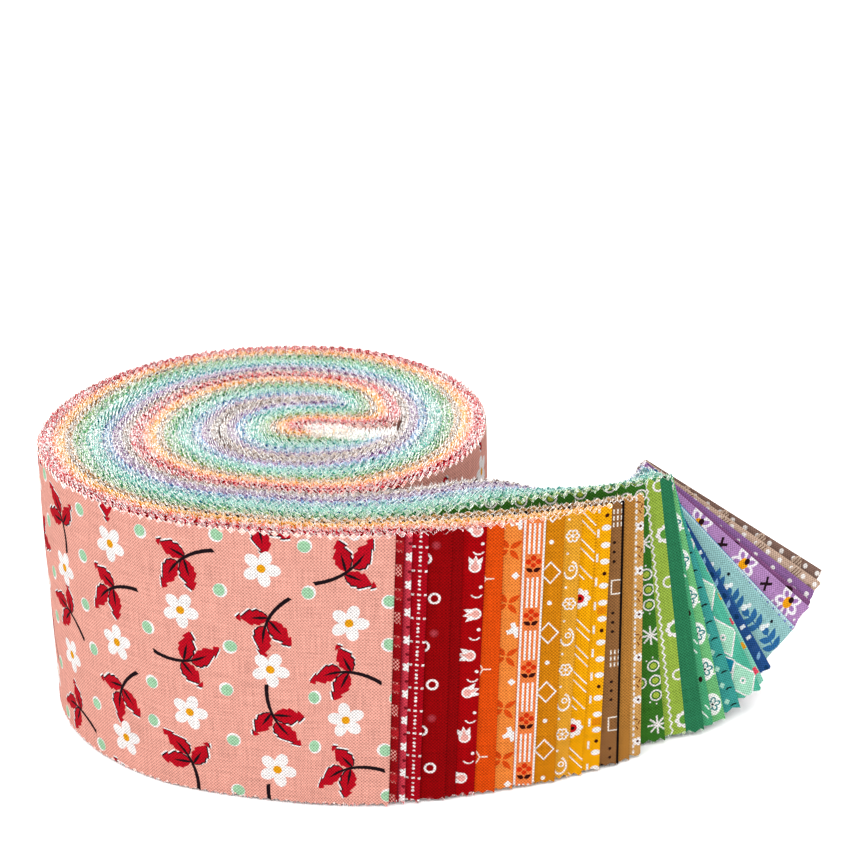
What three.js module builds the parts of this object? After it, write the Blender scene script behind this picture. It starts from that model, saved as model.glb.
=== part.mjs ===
// Roll of quilting fabric strips: forty strips, each folded in half, laid on each other and
// wound on edge into a roll, with the folded ends fanned out at the loose end.
// Millimetres. X runs along the loose end, Y to the back, Z up. The origin is the middle of
// the roll on the surface that it stands on.

import * as THREE from 'three';

// Driving dimensions
const STRIP_WIDTH = 63.5;       // a 2 1/2 inch strip, which is the height of the roll
const TURN_CLEARANCE = 0.3;     // kept free on each side of the wound bundle
const STATION_STEP = 3.5;       // distance between sections along the wound bundle
const COLOUR_BANDS = 8;         // groups of strips that show as ridges on the wound face
const BAND_GROOVE = 0.9;        // depth of the groove between two groups
const LEAF_THICKNESS = 1.0;     // two or three folded strips pressed together
const LEAF_GAP = 0.3;           // between the wound bundle and the start of the leaves
const LEAF_STATIONS = 12;       // sections along a leaf
const LEAF_LEVELS = 2;          // rows of points from the top edge to the bottom edge
const FAN_START_X = 40;         // where the leaves begin to swing out of the bundle

// Folds at the middle of the roll, from the inner end outwards. Each row is one section
// through the bundle: its inner side (xi, yi) and its outer side (xo, yo).
const CORE = [
  { xi: 22.8, yi: -15.6, xo: 28.3, yo: -4.8 },
  { xi: 19.0, yi: -18.0, xo: 23.5, yo: -3.8 },
  { xi: 12.0, yi: -19.8, xo: 16.0, yo: -1.7 },
  { xi: 4.0, yi: -19.4, xo: 10.5, yo: -1.2 },
  { xi: -3.0, yi: -16.0, xo: 8.6, yo: -1.1 },
  { xi: -8.0, yi: -9.8, xo: 8.0, yo: -0.9 },
  { xi: -9.9, yi: -2.5, xo: 7.9, yo: -0.6 },
  { xi: -8.8, yi: 5.0, xo: 8.2, yo: -0.3 },
  { xi: -5.2, yi: 10.2, xo: 9.4, yo: -0.1 },
  { xi: 0.5, yi: 13.2, xo: 12.0, yo: 0.0 },
  { xi: 6.5, yi: 14.2, xo: 16.2, yo: -0.6 },
  { xi: 10.3, yi: 14.6, xo: 20.5, yo: -2.0 },
  { xi: 12.4, yi: 14.8, xo: 24.5, yo: -2.9 },
  { xi: 13.4, yi: 14.9, xo: 28.5, yo: -1.9 },
  { xi: 13.8, yi: 15.1, xo: 30.9, yo: 2.5 },
  { xi: 13.4, yi: 15.3, xo: 30.7, yo: 9.0 },
  { xi: 12.4, yi: 15.4, xo: 29.0, yo: 17.0 },
  { xi: 9.6, yi: 15.4, xo: 24.0, yo: 24.3 },
  { xi: 5.0, yi: 15.0, xo: 14.5, yo: 30.3 },
];

// The two turns around those folds, in degrees from +X, with the radius of each side
const TURNS = [
  { deg: 90, inner: 13.9, outer: 33.2 },
  { deg: 120, inner: 12.5, outer: 30.9 },
  { deg: 150, inner: 10.8, outer: 29.1 },
  { deg: 180, inner: 10.5, outer: 30.0 },
  { deg: 210, inner: 11.7, outer: 31.0 },
  { deg: 240, inner: 14.3, outer: 32.6 },
  { deg: 270, inner: 18.6, outer: 35.2 },
  { deg: 300, inner: 23.6, outer: 44.2 },
  { deg: 330, inner: 29.4, outer: 48.4 },
  { deg: 360, inner: 31.3, outer: 50.0 },
  { deg: 390, inner: 33.9, outer: 51.3 },
  { deg: 420, inner: 34.0, outer: 52.2 },
  { deg: 450, inner: 33.6, outer: 50.8 },
  { deg: 480, inner: 31.2, outer: 50.6 },
  { deg: 510, inner: 29.4, outer: 50.0 },
  { deg: 540, inner: 30.3, outer: 50.4 },
  { deg: 570, inner: 31.3, outer: 51.0 },
  { deg: 600, inner: 32.9, outer: 52.6 },
  { deg: 630, inner: 35.6, outer: 57.0 },
];

// Where the bundle leaves the roll, up to the end of the outermost strip
const LEAD = [
  { xi: 12.0, yi: -39.5, xo: 12.0, yo: -59.8 },
  { xi: 25.0, yi: -39.4, xo: 25.0, yo: -60.8 },
];

// Leaves of the loose end, from the front to the back, each a sheaf of two or three strips.
// Columns: a point midway and the end in plan, the swing of the end about its top corner in
// degrees, and the direction in plan towards which that corner swings.
const LEAVES = [
  { name: 'crimson', color: 0xb0202f, mid: [28.5, -60.9], end: [31.8, -61.0], swing: 0, toward: 0 },
  { name: 'dark_red', color: 0x9c0f1e, mid: [36.0, -59.6], end: [43.9, -59.2], swing: 0, toward: 0 },
  { name: 'orange', color: 0xf0702a, mid: [42.0, -57.7], end: [56.2, -56.9], swing: 0, toward: 0 },
  { name: 'gold', color: 0xd99a1c, mid: [44.0, -56.1], end: [63.8, -54.5], swing: 0, toward: 5 },
  { name: 'yellow', color: 0xf3b52b, mid: [46.0, -54.5], end: [70.5, -51.7], swing: 0, toward: 10 },
  { name: 'brown', color: 0xb07c3a, mid: [48.0, -52.4], end: [78.0, -46.9], swing: 1, toward: 12 },
  { name: 'dark_green', color: 0x3f8f2c, mid: [45.0, -48.9], end: [79.3, -41.9], swing: 5, toward: 8 },
  { name: 'lime', color: 0x8fc750, mid: [45.0, -47.1], end: [83.6, -39.6], swing: 7, toward: 9 },
  { name: 'green', color: 0x2fa35f, mid: [45.0, -45.3], end: [85.9, -37.8], swing: 14, toward: 10 },
  { name: 'mint', color: 0x55b79c, mid: [45.0, -43.5], end: [83.0, -36.4], swing: 25, toward: 11 },
  { name: 'navy', color: 0x2c5f8f, mid: [45.0, -41.7], end: [82.0, -35.0], swing: 30, toward: 14 },
  { name: 'sky', color: 0x8cc3d6, mid: [45.0, -39.9], end: [81.3, -33.6], swing: 39, toward: 17 },
  { name: 'lavender', color: 0xa58bbd, mid: [45.0, -38.1], end: [81.7, -32.2], swing: 44, toward: 19 },
  { name: 'purple', color: 0x7d4f93, mid: [45.0, -36.4], end: [81.4, -30.9], swing: 47.5, toward: 20 },
  { name: 'taupe', color: 0x9a8b80, mid: [45.0, -34.8], end: [81.1, -29.5], swing: 52, toward: 21 },
];

const radians = THREE.MathUtils.degToRad;

function polar(deg, radius) {
  return new THREE.Vector3(radius * Math.cos(radians(deg)), radius * Math.sin(radians(deg)), 0);
}

// The two sides of the wound bundle in plan, as curves whose points match row by row
function bundleSides() {
  const inner = [];
  const outer = [];
  const addRow = (row) => {
    inner.push(new THREE.Vector3(row.xi, row.yi, 0));
    outer.push(new THREE.Vector3(row.xo, row.yo, 0));
  };
  CORE.forEach(addRow);
  for (const turn of TURNS) {
    inner.push(polar(turn.deg, turn.inner));
    outer.push(polar(turn.deg, turn.outer));
  }
  LEAD.forEach(addRow);
  return {
    inner: new THREE.CatmullRomCurve3(inner, false, 'centripetal'),
    outer: new THREE.CatmullRomCurve3(outer, false, 'centripetal'),
  };
}

// Curve parameters that lie the same distance apart along the middle of the bundle
function evenParameters(sides, step) {
  const samples = 2000;
  const lengths = [0];
  const middle = (t) => sides.inner.getPoint(t).add(sides.outer.getPoint(t)).multiplyScalar(0.5);
  let last = middle(0);
  for (let i = 1; i <= samples; i += 1) {
    const next = middle(i / samples);
    lengths.push(lengths[i - 1] + next.distanceTo(last));
    last = next;
  }
  const count = Math.round(lengths[samples] / step);
  const parameters = [];
  let i = 0;
  for (let k = 0; k <= count; k += 1) {
    const wanted = (lengths[samples] * k) / count;
    while (i < samples - 1 && lengths[i + 1] < wanted) i += 1;
    const share = (wanted - lengths[i]) / (lengths[i + 1] - lengths[i]);
    parameters.push(Math.min(1, (i + share) / samples));
  }
  return parameters;
}

// Outline of the bundle's section: share of the way across it, and height. The base is flat,
// and the top has one crowned ridge for each group of strips.
function bundleProfile() {
  const profile = [{ across: 0, z: 0 }, { across: 1, z: 0 }];
  const steps = 2 * COLOUR_BANDS;
  for (let i = steps; i >= 0; i -= 1) {
    const groove = i % 2 === 0 ? BAND_GROOVE : 0;
    profile.push({ across: i / steps, z: STRIP_WIDTH - groove });
  }
  return profile;
}

function geometryOf(points, triangles) {
  const geometry = new THREE.BufferGeometry();
  geometry.setAttribute('position', new THREE.Float32BufferAttribute(points.flat(), 3));
  geometry.setIndex(triangles.flat());
  geometry.computeVertexNormals();
  return geometry;
}

// The wound bundle as one solid, swept along its sides
function woundBundle() {
  const sides = bundleSides();
  const profile = bundleProfile();
  const points = [];
  const triangles = [];
  const parameters = evenParameters(sides, STATION_STEP);
  for (const t of parameters) {
    const inner = sides.inner.getPoint(t);
    const outer = sides.outer.getPoint(t);
    const across = outer.clone().sub(inner).normalize().multiplyScalar(TURN_CLEARANCE);
    inner.add(across);
    outer.sub(across);
    for (const corner of profile) {
      const p = inner.clone().lerp(outer, corner.across);
      points.push([p.x, p.y, corner.z]);
    }
  }
  const size = profile.length;
  for (let k = 0; k + 1 < parameters.length; k += 1) {
    for (let j = 0; j < size; j += 1) {
      const next = (j + 1) % size;
      const a = k * size + j;
      const b = k * size + next;
      triangles.push([a, a + size, b + size], [a, b + size, b]);
    }
  }
  const outline = profile.map((corner) => new THREE.Vector2(corner.across * STRIP_WIDTH, corner.z));
  const last = (parameters.length - 1) * size;
  for (const [a, b, c] of THREE.ShapeUtils.triangulateShape(outline, [])) {
    triangles.push([a, b, c], [last + a, last + c, last + b]);
  }
  return geometryOf(points, triangles);
}

// One leaf of the loose end. Its top edge follows the plan curve, and its upright threads lean
// out further and further, so that the end stands like a card in a fanned hand.
function leafSheet(leaf, startY) {
  const startX = LEAD[LEAD.length - 1].xo + LEAF_GAP;
  const curve = new THREE.CatmullRomCurve3([
    new THREE.Vector3(startX, startY, 0),
    new THREE.Vector3(leaf.mid[0], leaf.mid[1], 0),
    new THREE.Vector3(leaf.end[0], leaf.end[1], 0),
  ], false, 'centripetal');
  const middle = [];
  for (let i = 0; i <= LEAF_STATIONS; i += 1) {
    const top = curve.getPointAt(i / LEAF_STATIONS);
    const tangent = curve.getTangentAt(i / LEAF_STATIONS);
    const share = Math.max(0, (top.x - FAN_START_X) / (leaf.end[0] - FAN_START_X));
    const swing = radians(leaf.swing * share);
    const heading = Math.atan2(tangent.y, tangent.x);
    const toward = THREE.MathUtils.lerp(heading, radians(leaf.toward), share ** 2);
    const lift = STRIP_WIDTH * (1 - Math.cos(swing));
    const dip = lift * (1 - share ** 3);
    const row = [];
    for (let j = 0; j <= LEAF_LEVELS; j += 1) {
      const down = (STRIP_WIDTH * j) / LEAF_LEVELS;
      row.push(new THREE.Vector3(
        top.x + down * Math.sin(swing) * Math.cos(toward),
        top.y + down * Math.sin(swing) * Math.sin(toward),
        STRIP_WIDTH - dip - down * Math.cos(swing),
      ));
    }
    middle.push(row);
  }
  return thickened(middle, LEAF_THICKNESS);
}

// Closed sheet of even thickness around a grid of points on its middle surface
function thickened(grid, thickness) {
  const rows = grid.length;
  const columns = grid[0].length;
  const normalAt = (i, j) => {
    const along = grid[Math.min(i + 1, rows - 1)][j].clone().sub(grid[Math.max(i - 1, 0)][j]);
    const down = grid[i][Math.min(j + 1, columns - 1)].clone().sub(grid[i][Math.max(j - 1, 0)]);
    return along.cross(down).setZ(0).normalize();
  };
  const points = [];
  for (const side of [-0.5, 0.5]) {
    for (let i = 0; i < rows; i += 1) {
      for (let j = 0; j < columns; j += 1) {
        const p = grid[i][j].clone().addScaledVector(normalAt(i, j), side * thickness);
        points.push([p.x, p.y, p.z]);
      }
    }
  }
  const triangles = [];
  const back = rows * columns;
  const at = (i, j) => i * columns + j;
  for (let i = 0; i + 1 < rows; i += 1) {
    for (let j = 0; j + 1 < columns; j += 1) {
      const [a, b, c, d] = [at(i, j), at(i + 1, j), at(i + 1, j + 1), at(i, j + 1)];
      triangles.push([a, c, b], [a, d, c], [back + a, back + b, back + c], [back + a, back + c, back + d]);
    }
  }
  const rim = [];
  for (let i = 0; i + 1 < rows; i += 1) rim.push(at(i, 0));
  for (let j = 0; j + 1 < columns; j += 1) rim.push(at(rows - 1, j));
  for (let i = rows - 1; i > 0; i -= 1) rim.push(at(i, columns - 1));
  for (let j = columns - 1; j > 0; j -= 1) rim.push(at(0, j));
  rim.forEach((a, k) => {
    const b = rim[(k + 1) % rim.length];
    triangles.push([a, b, back + b], [a, back + b, back + a]);
  });
  return geometryOf(points, triangles);
}

function clothMesh(name, geometry, color) {
  const material = new THREE.MeshStandardMaterial({ color, roughness: 0.9, metalness: 0 });
  const mesh = new THREE.Mesh(geometry, material);
  mesh.name = name;
  return mesh;
}

const roll = new THREE.Group();
roll.add(clothMesh('wound_strips', woundBundle(), 0xe89a8c));

const exit = LEAD[LEAD.length - 1];
const exitWidth = exit.yi - exit.yo - 2 * TURN_CLEARANCE;
LEAVES.forEach((leaf, index) => {
  const startY = exit.yo + TURN_CLEARANCE + (exitWidth * (index + 0.5)) / LEAVES.length;
  roll.add(clothMesh(`leaf_${leaf.name}`, leafSheet(leaf, startY), leaf.color));
});

export default roll;
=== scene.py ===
import math

import bpy
import numpy as np
from mathutils import Matrix, Vector


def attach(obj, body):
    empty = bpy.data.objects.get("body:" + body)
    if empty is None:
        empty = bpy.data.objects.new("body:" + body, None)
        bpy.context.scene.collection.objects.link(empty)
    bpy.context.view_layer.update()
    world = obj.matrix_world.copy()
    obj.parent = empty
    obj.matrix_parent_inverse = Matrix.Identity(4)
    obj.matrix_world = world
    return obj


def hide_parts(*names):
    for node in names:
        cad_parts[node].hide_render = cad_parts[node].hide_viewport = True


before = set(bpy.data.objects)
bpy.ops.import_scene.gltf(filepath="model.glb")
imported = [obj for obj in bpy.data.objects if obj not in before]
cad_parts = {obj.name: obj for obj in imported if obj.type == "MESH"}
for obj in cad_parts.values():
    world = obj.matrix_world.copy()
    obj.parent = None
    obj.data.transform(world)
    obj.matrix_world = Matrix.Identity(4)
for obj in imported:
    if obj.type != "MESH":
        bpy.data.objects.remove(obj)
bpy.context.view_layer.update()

# Roll of quilting fabric strips. Lengths are in millimetres up to the point where a mesh is
# made, and MM turns them into metres. In plan, X runs along the loose end and Y to the back.
MM = 0.001

# The strips
STRIP_WIDTH = 63.5
STRIP_LENGTH = 1117.6
STRIP_COUNT = 40
CLOTH = 0.17  # thickness
THREAD = 0.37  # distance from one thread to the next
TOOTH_PITCH = 2.3
TOOTH_DEPTH = 1.05
TOOTH_JAG = 0.09
SELVAGE = 22.0  # unprinted length at each end
END_LENGTH = 30.0  # over which the print runs out to the real end
RISE = 0.25  # of the top edge over the nominal width
RISE_PLAY = (-0.1, 0.2)
WAVE_LENGTH = 95
WAVE_HEIGHT = 0.22
OUTER_LEVELS = 6  # rows of faces up the outermost strip
SHARP_ANGLE = 50
SEED = 40

# How the prints are laid and how much the threads show
WHITE = "#EFEAE8"
UNPRINTED = "#EFEAE4"
INK = "#1C1016"
RAGGED = 0.22
# WEAVE_SHADE: strength of the light and shade painted onto the threads' relief
WEAVE_SHADE = 0.45
SLUB_LENGTH = 7.0
SLUB_WIDTH = 0.3
SLUB_SHADE = 0.55
GRAIN_SHADE = 0.35
DYE_SHARE = 0.65

# How the strips lie in the bundle: the front strips are pressed flatter than the back ones
FRONT_STRIPS = 18
FRONT_SHARE = 0.385
SPREAD = 1.02

# The loose end
EXIT_X = 25.0
FAN_START_X = 40.0
LEAN_START = 22.0
MIDWAY_X = 45.0
MIDWAY_BACK_Y = (-49.0, -34.6)
MIDWAY_BOW = 1.3
BOW_AT = 0.55  # share of the way from the exit to the fold
BOW_FROM = 8.0  # least reach past the exit of a strip that bows
LEAD_Y = -30  # rows behind this line are all kept
ROW_CLEAR = 1.0  # between the last row that is kept and the fold

# The folds: distance between the two halves, and stations around the fold
OUTER_GAP = 0.6
FRONT_GAP = 0.5
BACK_GAP = 0.26
FOLD_STEPS = np.array([-0.9, -0.6, -0.4, -0.25, -0.12, 0, 0.12, 0.25, 0.4, 0.6, 0.9])
FOLD_REACH = 1.4
FOLD_CLEAR = 0.08

# Folds at the middle of the roll, from the inner end outwards. Each row is one section
# through the bundle: its inner side (x, y) and its outer side (x, y).
CORE = np.array([
    (22.8, -15.6, 28.3, -4.8),
    (19.0, -18.0, 23.5, -3.8),
    (12.0, -19.8, 16.0, -1.7),
    (4.0, -19.4, 10.5, -1.2),
    (-3.0, -16.0, 8.6, -1.1),
    (-8.0, -9.8, 8.0, -0.9),
    (-9.9, -2.5, 7.9, -0.6),
    (-8.8, 5.0, 8.2, -0.3),
    (-5.2, 10.2, 9.4, -0.1),
    (0.5, 13.2, 12.0, 0.0),
    (6.5, 14.2, 16.2, -0.6),
    (10.3, 14.6, 20.5, -2.0),
    (12.4, 14.8, 24.5, -2.9),
    (13.4, 14.9, 28.5, -1.9),
    (13.8, 15.1, 30.9, 2.5),
    (13.4, 15.3, 30.7, 9.0),
    (12.4, 15.4, 29.0, 17.0),
    (9.6, 15.4, 24.0, 24.3),
    (5.0, 15.0, 14.5, 30.3),
])

# The one and a half turns around those folds: degrees from +X, and the radius of each side
TURNS = np.array([
    (90, 13.9, 33.2),
    (120, 12.5, 30.9),
    (150, 10.8, 29.1),
    (180, 10.5, 30.0),
    (210, 11.7, 31.0),
    (240, 14.3, 32.6),
    (270, 18.6, 35.2),
    (300, 23.6, 44.2),
    (330, 29.4, 48.4),
    (360, 31.3, 50.0),
    (390, 33.9, 51.3),
    (420, 34.0, 52.2),
    (450, 33.6, 50.8),
    (480, 31.2, 50.6),
    (510, 29.4, 50.0),
    (540, 30.3, 50.4),
    (570, 31.3, 51.0),
    (600, 32.9, 52.6),
    (630, 35.6, 57.0),
])

# Where the bundle leaves the roll
LEAD = np.array([
    (12.0, -39.5, 12.0, -59.8),
    (EXIT_X, -39.4, EXIT_X, -60.9),
])

# Where the strips end inside the roll: share across the bundle, then the place. Each end
# falls short of it by up to END_PLAY.
END_PLAY = 1.6
INNER_BULGE = (1.9, -1.7)
INNER_ENDS = np.array([
    (0.0, 19.5, -3.0),
    (0.25, 21.0, -3.6),
    (0.45, 23.2, -4.0),
    (0.7, 26.0, -4.2),
    (0.85, 28.7, -4.1),
    (1.0, 30.2, -4.6),
])


def linear(code, share=1.0):
    """Linear colour of a #RRGGBB code, with its lightness taken down to a share."""
    parts = [int(code[i:i + 2], 16) / 255 for i in (1, 3, 5)]
    parts = [part / 12.92 if part <= 0.04045 else ((part + 0.055) / 1.055) ** 2.4 for part in parts]
    return (*(part * share for part in parts), 1.0)


# Numbers that vary over the cloth

class Field:
    """The output of a shader node, with arithmetic that adds more nodes."""

    def __init__(self, tree, socket):
        self.tree = tree
        self.socket = socket

    def math(self, operation, *others, clamp=False):
        node = self.tree.nodes.new("ShaderNodeMath")
        node.operation = operation
        node.use_clamp = clamp
        for slot, value in zip(node.inputs, (self, *others)):
            if isinstance(value, Field):
                self.tree.links.new(value.socket, slot)
            else:
                slot.default_value = value
        return Field(self.tree, node.outputs[0])

    def __add__(self, other):
        return self.math("ADD", other)

    def __sub__(self, other):
        return self.math("SUBTRACT", other)

    def __rsub__(self, other):
        return self.math("MULTIPLY_ADD", -1.0, other)

    def __mul__(self, other):
        return self.math("MULTIPLY", other)

    def __truediv__(self, other):
        return self.math("DIVIDE", other)

    def abs(self):
        return self.math("ABSOLUTE")

    def min(self, other):
        return self.math("MINIMUM", other)

    def max(self, other):
        return self.math("MAXIMUM", other)

    def sin(self):
        return self.math("SINE")

    def cos(self):
        return self.math("COSINE")

    def wrap(self, period):
        """The value's offset from the nearest multiple of the period."""
        return self.math("WRAP", period / 2, -period / 2)

    def cell(self, period):
        """The number of the nearest multiple of the period."""
        return (self / period + 0.5).math("FLOOR")

    def length(self, other):
        return (self * self + other * other).math("SQRT")


# Shapes of a print. Each gives how deep a point lies inside the shape, in millimetres.

def disc(p, q, radius):
    return radius - p.length(q)


def oval(p, q, half_p, half_q):
    return (1 - (p / half_p).length(q / half_q)) * min(half_p, half_q)


def outline(depth, width):
    return width / 2 - depth.abs()


def ring(p, q, radius, width):
    return outline(disc(p, q, radius), width)


def bar(p, q, half_p, half_q):
    return (half_p - p.abs()).min(half_q - q.abs())


def rhomb(p, q, half_p, half_q):
    return (1 - p.abs() / half_p - q.abs() / half_q) * min(half_p, half_q)


def sector(p, q, count):
    """Place turned into the nearest of the equal sectors around the centre."""
    angle = q.math("ARCTAN2", p).wrap(2 * math.pi / count)
    radius = p.length(q)
    return radius * angle.cos(), radius * angle.sin()


def flower(p, q, reach, petals, half_width):
    """Round petals around a centre."""
    along, across = sector(p, q, petals)
    half_length = reach * 0.42
    petal = oval(along - (reach - half_length), across, half_length, half_width)
    return petal.max(disc(p, q, reach * 0.42))


def star(p, q, reach, points, width):
    """Lines that run out from a centre."""
    along, across = sector(p, q, points)
    return bar(along - reach / 2, across, reach / 2, width / 2)


def leaf(p, q, length, half_width):
    """A leaf along p from 0 to length, widest before its middle."""
    along = (p / length).math("MULTIPLY", 1.0, clamp=True)
    beyond = (p / length - along).abs() * length
    swell = (along.math("POWER", 0.75) * math.pi).sin()
    return swell * half_width - q.abs() - beyond


def turned(p, q, angle):
    if isinstance(angle, Field):
        c, s = angle.cos(), angle.sin()
    else:
        c, s = math.cos(angle), math.sin(angle)
    return p * c + q * s, q * c - p * s


def new_material(name, roughness, specular):
    """A matt material and its shader."""
    material = bpy.data.materials.new(name)
    material.use_nodes = True
    shader = material.node_tree.nodes["Principled BSDF"]
    shader.inputs["Roughness"].default_value = roughness
    shader.inputs["Specular IOR Level"].default_value = specular
    return material, shader


class Print:
    """The printed face of a strip. x runs along the strip from its fold, y up from its lower edge."""

    def __init__(self, name, ground, share=DYE_SHARE):
        self.share = share
        self.material, self.shader = new_material(name, 1.0, 0.04)
        self.tree = self.material.node_tree
        cloth = self.tree.nodes.new("ShaderNodeUVMap")
        cloth.uv_map = "cloth"
        split = self.tree.nodes.new("ShaderNodeSeparateXYZ")
        self.tree.links.new(cloth.outputs[0], split.inputs[0])
        self.true_x = Field(self.tree, split.outputs[0]) * STRIP_WIDTH
        self.true_y = Field(self.tree, split.outputs[1]) * STRIP_WIDTH
        ragged_x = self.noise(0.5, 0.5, 1.0, 11.0) - 0.5
        ragged_y = self.noise(0.5, 0.5, 1.0, 17.0) - 0.5
        self.x = self.true_x + ragged_x * RAGGED
        self.y = self.true_y + ragged_y * RAGGED
        self.colour = self.constant(ground)

    def constant(self, code):
        node = self.tree.nodes.new("ShaderNodeRGB")
        node.outputs[0].default_value = linear(code, self.share)
        return node.outputs[0]

    def mix(self, share, top, blend="MIX"):
        node = self.tree.nodes.new("ShaderNodeMix")
        node.data_type = "RGBA"
        node.blend_type = blend
        if isinstance(share, Field):
            self.tree.links.new(share.socket, node.inputs["Factor"])
        else:
            node.inputs["Factor"].default_value = share
        self.tree.links.new(self.colour, node.inputs[6])
        if isinstance(top, str):
            node.inputs[7].default_value = linear(top, self.share)
        else:
            self.tree.links.new(top, node.inputs[7])
        self.colour = node.outputs[2]

    def lay(self, depth, code=WHITE, soft=0.12):
        """Prints a colour where depth is above nought."""
        self.mix(depth.math("MULTIPLY_ADD", 1 / soft, 0.5, clamp=True), code)

    def place(self, x, y, seed):
        node = self.tree.nodes.new("ShaderNodeCombineXYZ")
        self.tree.links.new(x.socket, node.inputs[0])
        self.tree.links.new(y.socket, node.inputs[1])
        node.inputs[2].default_value = seed
        return node.outputs[0]

    def noise(self, scale_x, scale_y, detail=2.0, seed=0.0):
        """Noise with features of about the given sizes in millimetres, from 0 to 1."""
        place = self.place(self.true_x / scale_x, self.true_y / scale_y, seed)
        node = self.tree.nodes.new("ShaderNodeTexNoise")
        node.inputs["Scale"].default_value = 1.0
        node.inputs["Detail"].default_value = detail
        self.tree.links.new(place, node.inputs["Vector"])
        return Field(self.tree, node.outputs["Fac"])

    def chance(self, column, row, seed):
        """A random number from 0 to 1 for each cell of a repeat."""
        node = self.tree.nodes.new("ShaderNodeTexWhiteNoise")
        self.tree.links.new(self.place(column, row, seed), node.inputs["Vector"])
        return Field(self.tree, node.outputs["Value"])

    def cells(self, step_x, step_y, at_x=0.0, at_y=0.0, brick=0.0):
        """Place inside the nearest cell of a repeat, and the cell's column and row."""
        x = self.x - at_x
        column = x.cell(step_x)
        y = self.y - at_y - column * (brick * step_y)
        return x.wrap(step_x), y.wrap(step_y), column, y.cell(step_y)

    def spots(self, step_x, step_y, at_x=0.0, at_y=0.0, brick=0.0):
        """Place inside the nearest cell of a repeat."""
        return self.cells(step_x, step_y, at_x, at_y, brick)[:2]

    def repeat(self, shape, sizes, cells, code=WHITE, soft=0.12):
        """Prints a shape in each cell of a repeat."""
        self.lay(shape(*self.spots(*cells), *sizes), code, soft)

    def weave(self):
        """Threads of a plain weave: the light and shade of their over-and-under relief painted into
        the colour, with uneven slubs and grain in the threads' own tone, and the same threads and
        slubs as bumps.
        """
        warp = (self.true_y * (math.pi / THREAD)).sin()
        weft = (self.true_x * (math.pi / THREAD)).sin()
        threads = warp * weft
        slubs = self.noise(SLUB_LENGTH, SLUB_WIDTH, 1.0, 3.0)
        slubs = slubs + self.noise(SLUB_WIDTH, SLUB_LENGTH, 1.0, 7.0)
        grain = self.noise(0.35, 0.35, 0.0, 5.0)
        uneven = (slubs - 1.0) * SLUB_SHADE
        # threads paints light and shade on the weave's relief; uneven and grain are the threads' own
        # tone
        shade = threads * WEAVE_SHADE + uneven + (grain - 0.5) * GRAIN_SHADE + 1.0
        node = self.tree.nodes.new("ShaderNodeCombineColor")
        for slot in node.inputs[:3]:
            self.tree.links.new(shade.socket, slot)
        self.mix(1.0, node.outputs[0], "MULTIPLY")
        bump = self.tree.nodes.new("ShaderNodeBump")
        bump.inputs["Strength"].default_value = 0.3
        bump.inputs["Distance"].default_value = 0.05 * MM
        self.tree.links.new((threads + slubs * 2.0).socket, bump.inputs["Height"])
        self.tree.links.new(bump.outputs[0], self.shader.inputs["Normal"])

    def finish(self):
        self.lay(self.true_x.abs() - (STRIP_LENGTH / 2 - SELVAGE), UNPRINTED, 3.0)
        self.weave()
        self.tree.links.new(self.colour, self.shader.inputs["Base Color"])
        return self.material


# The prints. Each takes a strip's face and lays its motifs on the ground colour.

def plain(face):
    face.mix(face.noise(3.0, 6.0) * 0.2, "#FFFFFF", "SOFT_LIGHT")


def coral_floral(face):
    """Leaf sprigs, daisies and dots scattered over a coral ground."""
    step_x, step_y = 18.2, 23.4
    at_x, at_y = -9.0, 8.0
    sprigs = face.cells(step_x, step_y, at_x, at_y, 0.5)
    sprig(face, *scattered(face, sprigs, 1, 1.6))
    daisies = face.cells(step_x, step_y, at_x, at_y + step_y / 2, 0.5)
    daisy(face, *scattered(face, daisies, 4, 2.0))
    dots = face.cells(step_x, step_y / 2, at_x + step_x / 2, at_y + step_y / 4)
    p, q = scattered(face, dots, 7, 2.6)
    printed = (face.chance(dots[2], dots[3], 10) - 0.2) * 20
    face.lay(disc(p - 0.2, q + 0.1, 1.6).min(printed))
    face.lay(disc(p, q * 0.9, 1.25).min(printed), "#9CC9A3")


def scattered(face, cell, seed, reach):
    """Place in a cell, moved and turned at random."""
    p, q, column, row = cell
    p = p - (face.chance(column, row, seed) - 0.5) * reach
    q = q - (face.chance(column, row, seed + 1) - 0.5) * reach
    return turned(p, q, face.chance(column, row, seed + 2) * (2 * math.pi))


def daisy(face, p, q):
    face.lay(flower(p, q, 4.2, 5, 1.35))
    face.lay(disc(p, q, 0.95), "#E09A12")


def sprig(face, p, q):
    """Three toothed leaves on a bent stem, with a pale rim where the colours miss each other."""
    p = p + 0.8
    bend = q - p * p * 0.04
    leaves = [
        (p - 1.9, bend, 7.0, 1.9),
        (*turned(p - 0.2, q - 0.2, 1.2), 7.4, 1.75),
        (*turned(p + 0.3, q + 0.2, -1.0), 6.8, 1.65),
    ]
    for u, v, length, half_width in leaves:
        face.lay(toothed(u - 0.25, v + 0.6, length, half_width))
    for u, v, length, half_width in leaves:
        face.lay(toothed(u, v + 0.36, length, half_width), INK)
        face.lay(toothed(u, v, length, half_width), "#B40A1E")
        face.lay(leaf(u + 0.2, v, length * 0.6, 0.32), INK)
    stem = (0.5 - bend.abs() - (p + 6.0) * 0.025).min(4.6 - (p + 2.3).abs())
    face.lay(stem, INK)


def toothed(u, v, length, half_width):
    teeth = ((u + v.abs() * 0.9) * (2 * math.pi / 1.6)).sin() * 0.36
    toward_tip = (u / length).math("MULTIPLY", 1.2, clamp=True)
    return leaf(u, v, length, half_width) + teeth * toward_tip


def gingham(face):
    """Small patches woven with pale threads."""
    p, q = face.spots(4.6, 5.4, -1.1, 1.0)
    hatch = (face.x * (2 * math.pi / 0.8)).sin() * (face.y * (2 * math.pi / 0.9)).sin()
    face.lay(bar(p, q, 0.85, 1.3).min(hatch * 0.4 - 0.04), "#EBA79C")
    face.lay((face.y - 1.0).wrap(10.8).abs() - 4.4, "#A81A22", 0.8)


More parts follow.
